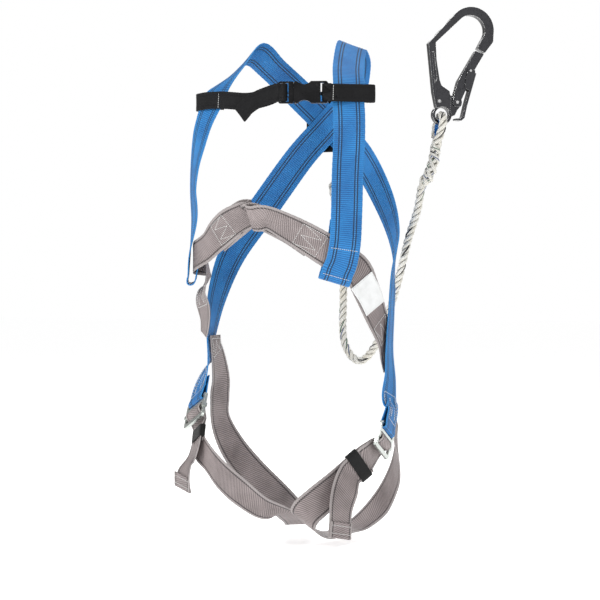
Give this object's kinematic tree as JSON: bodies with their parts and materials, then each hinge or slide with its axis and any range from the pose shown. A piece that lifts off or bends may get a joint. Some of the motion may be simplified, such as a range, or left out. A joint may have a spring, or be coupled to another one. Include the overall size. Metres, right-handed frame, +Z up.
{
  "type": "safety harness",
  "caption": "Full-body fall-arrest harness shaped as worn, with chest and leg buckles, back ring, connector, rope lanyard and scaffold hook.",
  "frame": {"origin": "on the axis of the wearer's trunk, level with the hips", "axes": "+X towards the wearer's left, -Y the way the wearer faces, +Z up"},
  "size_m": [0.426, 0.3269, 0.7718],
  "materials": {
    "blue_webbing": "woven polyester, satin",
    "grey_webbing": "woven polyester, satin",
    "black_webbing": "woven polyester",
    "label_cloth": "coated cloth, blank",
    "black_plastic": "moulded, fine grain",
    "keeper_elastic": "ribbed elastic band",
    "zinc_steel": "zinc plated, pale green tint",
    "dark_alloy": "dark anodised, worn to bright metal at the edges",
    "white_rope": "three-strand laid rope with dark tracer yarns",
    "blue_plastic": "moulded"
  },
  "bodies": {
    "harness": {"shoulder_strap_left": "blue_webbing", "shoulder_strap_right": "blue_webbing", "chest_loop_left": "grey_webbing", "chest_loop_right": "grey_webbing", "leg_strap_left": "grey_webbing", "leg_strap_right": "grey_webbing", "chest_tie_left": "black_webbing", "chest_tie_right": "black_webbing", "blank_label": "label_cloth", "buckle_shell": "black_plastic", "leg_buckle_frame_left": "zinc_steel", "leg_buckle_frame_right": "zinc_steel", "dorsal_plate": "black_plastic"},
    "plug": {"buckle_plug": "black_plastic", "chest_tie_run": "black_webbing"},
    "arm_upper": {"buckle_arm_upper": "black_plastic"},
    "arm_lower": {"buckle_arm_lower": "black_plastic"},
    "bar_left": {"leg_buckle_bar_left": "zinc_steel"},
    "bar_right": {"leg_buckle_bar_right": "zinc_steel"},
    "keeper_left": {"strap_keeper_left": "keeper_elastic"},
    "keeper_right": {"strap_keeper_right": "keeper_elastic"},
    "ring": {"dorsal_ring": "zinc_steel"},
    "link": {"link_body": "zinc_steel", "link_gate_pin": "zinc_steel", "lanyard_rope": "white_rope", "thimble_hook_end": "blue_plastic", "thimble_link_end": "blue_plastic"},
    "link_gate": {"link_gate": "zinc_steel"},
    "sleeve": {"link_sleeve": "dark_alloy"},
    "hook": {"hook_body": "dark_alloy", "gate_rivet": "zinc_steel", "body_rivet": "zinc_steel", "gate_spring": "zinc_steel"},
    "gate": {"hook_gate": "dark_alloy", "lever_rivet": "zinc_steel", "lever_spring": "zinc_steel"},
    "lever": {"hook_lever": "dark_alloy"}
  },
  "joints": [
    {"name": "plug_slide", "type": "slide", "parent": "harness", "child": "plug", "axis": [-0.9397, -0.342, 0], "range_m": [0, 0.024]},
    {"name": "arm_upper_bend", "type": "hinge", "parent": "plug", "child": "arm_upper", "pos_m": [0.04178, -0.10045, 0.5046], "axis": [0.342, -0.9397, 0], "range_deg": [-5, 0], "stiffness_Nm_per_rad": 0.02},
    {"name": "arm_lower_bend", "type": "hinge", "parent": "plug", "child": "arm_lower", "pos_m": [0.04178, -0.10045, 0.4874], "axis": [0.342, -0.9397, 0], "range_deg": [0, 5], "stiffness_Nm_per_rad": 0.02},
    {"name": "bar_left_slide", "type": "slide", "parent": "harness", "child": "bar_left", "axis": [-0.1129, -0.4109, -0.9047], "range_m": [0, 0.0015]},
    {"name": "bar_right_slide", "type": "slide", "parent": "harness", "child": "bar_right", "axis": [0.0755, -0.5073, -0.8585], "range_m": [0, 0.0015]},
    {"name": "keeper_left_slide", "type": "slide", "parent": "harness", "child": "keeper_left", "axis": [-0.5979, -0.4983, -0.6278], "range_m": [-0.001, 0.006]},
    {"name": "keeper_right_slide", "type": "slide", "parent": "harness", "child": "keeper_right", "axis": [0.0807, -0.3632, -0.9282], "range_m": [-0.004, 0]},
    {"name": "ring_swing", "type": "hinge", "parent": "harness", "child": "ring", "pos_m": [0, 0.13, 0.492], "axis": [1, 0, 0], "range_deg": [-8, 50]},
    {"name": "link_hang", "type": "hinge", "parent": "ring", "child": "link", "pos_m": [0, 0.15524, 0.45969], "axis": [1, 0, 0], "range_deg": [-50, 8]},
    {"name": "link_gate_swing", "type": "hinge", "parent": "link", "child": "link_gate", "pos_m": [0, 0.17324, 0.39809], "axis": [1, 0, 0], "range_deg": [0, 22]},
    {"name": "sleeve_slide", "type": "slide", "parent": "link_gate", "child": "sleeve", "axis": [0, 0, 1], "range_m": [-0.006, 0.009]},
    {"name": "hook_swing", "type": "hinge", "parent": "link", "child": "hook", "pos_m": [0.185, 0.1, 0.475], "axis": [0.6157, -0.788, 0], "range_deg": [-15, 15]},
    {"name": "hook_gate_swing", "type": "hinge", "parent": "hook", "child": "gate", "pos_m": [0.20328, 0.11428, 0.494], "axis": [0.6157, -0.788, 0], "range_deg": [0, 28]},
    {"name": "hook_lever_squeeze", "type": "hinge", "parent": "gate", "child": "lever", "pos_m": [0.21888, 0.12647, 0.5405], "axis": [0.6157, -0.788, 0], "range_deg": [-3, 0]}
  ],
  "couplings": [
    {"joint": "arm_lower_bend", "follows": "arm_upper_bend", "ratio": -1},
    {"joint": "link_hang", "follows": "ring_swing", "ratio": -1}
  ]
}
